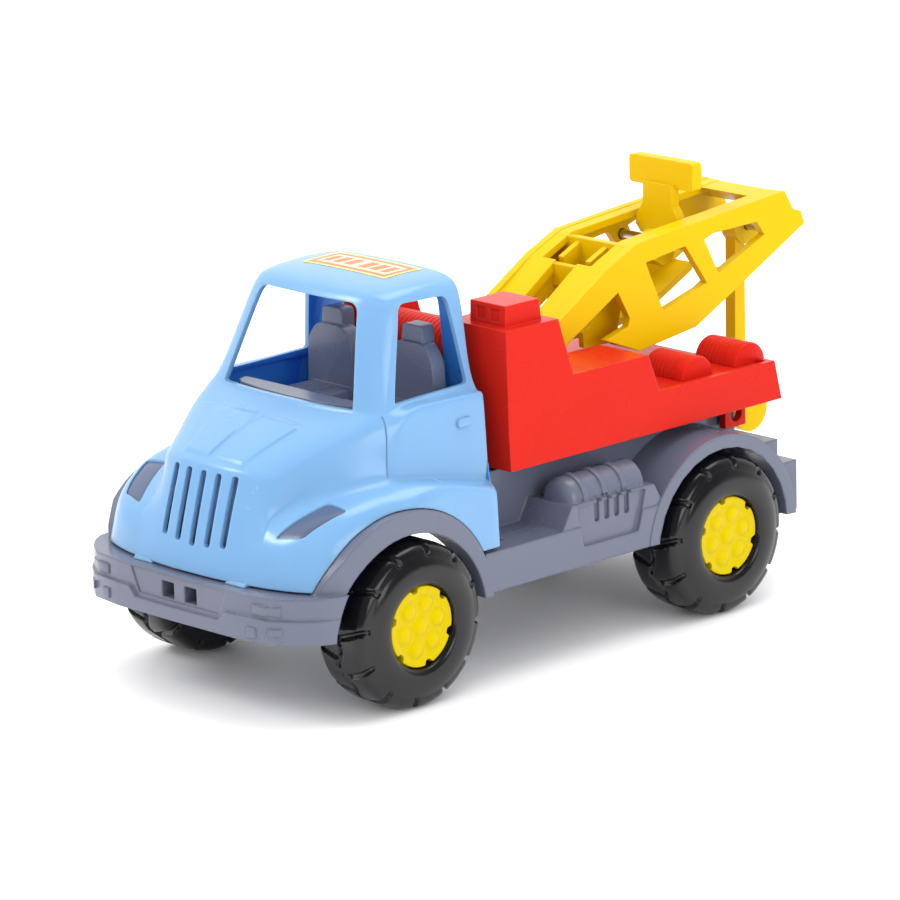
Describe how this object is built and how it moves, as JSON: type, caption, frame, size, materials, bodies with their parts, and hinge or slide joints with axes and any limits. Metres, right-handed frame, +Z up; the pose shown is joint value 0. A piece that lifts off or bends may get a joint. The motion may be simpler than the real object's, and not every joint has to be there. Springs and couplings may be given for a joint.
{
  "type": "toy tow truck",
  "caption": "Moulded plastic toy tow truck with a rounded open-window cab, a stepped bed, a truss crane boom with a T-handled lever, and a swinging tow hook.",
  "frame": {"origin": "bottom centre of the whole truck's bounding box, on the ground under its middle", "axes": "+Z up, the truck's nose points along -Y, +X is the truck's left side"},
  "size_m": [0.1272, 0.291, 0.1513],
  "materials": {
    "grey_plastic": "smooth moulded, blue-grey",
    "blue_plastic": "smooth moulded, sky blue",
    "dark_grey_plastic": "smooth moulded, dark blue-grey",
    "red_plastic": "smooth moulded, bright red",
    "yellow_plastic": "smooth moulded, bright yellow",
    "black_plastic": "glossy moulded, black, hard plastic and not rubber",
    "steel": "plain drawn wire",
    "label": "printed film with plain stripes"
  },
  "bodies": {
    "truck": {"chassis": "grey_plastic", "cab_shell": "blue_plastic", "cab_interior": "dark_grey_plastic", "headlight_left": "grey_plastic", "headlight_right": "grey_plastic", "roof_sticker": "label", "tow_body": "red_plastic", "boom_pin": "steel", "body_screw_1": "steel", "body_screw_2": "steel", "body_screw_3": "steel", "body_screw_4": "steel", "cab_screw_1": "steel", "cab_screw_2": "steel"},
    "front_wheels": {"front_axle": "steel", "hub_front_left": "yellow_plastic", "hub_front_right": "yellow_plastic", "tyre_front_left": "black_plastic", "tyre_front_right": "black_plastic"},
    "rear_wheels": {"rear_axle": "steel", "hub_rear_left": "yellow_plastic", "hub_rear_right": "yellow_plastic", "tyre_rear_left": "black_plastic", "tyre_rear_right": "black_plastic"},
    "boom": {"boom": "yellow_plastic", "lever_pin": "steel", "hook_pin": "steel"},
    "lever": {"boom_lever": "yellow_plastic"},
    "hook": {"hook_arm": "yellow_plastic"}
  },
  "joints": [
    {"name": "front_wheels_roll", "type": "hinge", "parent": "truck", "child": "front_wheels", "pos_m": [0, -0.09035, 0.0288], "axis": [1, 0, 0], "continuous": true},
    {"name": "rear_wheels_roll", "type": "hinge", "parent": "truck", "child": "rear_wheels", "pos_m": [0, 0.05965, 0.0288], "axis": [1, 0, 0], "continuous": true},
    {"name": "boom_tilt", "type": "hinge", "parent": "truck", "child": "boom", "pos_m": [0, 0.00365, 0.0911], "axis": [1, 0, 0], "range_deg": [0, 35]},
    {"name": "lever_tilt", "type": "hinge", "parent": "boom", "child": "lever", "pos_m": [0, 0.08945, 0.1216], "axis": [1, 0, 0], "range_deg": [-25, 25]},
    {"name": "hook_swing", "type": "hinge", "parent": "boom", "child": "hook", "pos_m": [0, 0.13365, 0.1206], "axis": [1, 0, 0], "range_deg": [-12, 75]}
  ]
}
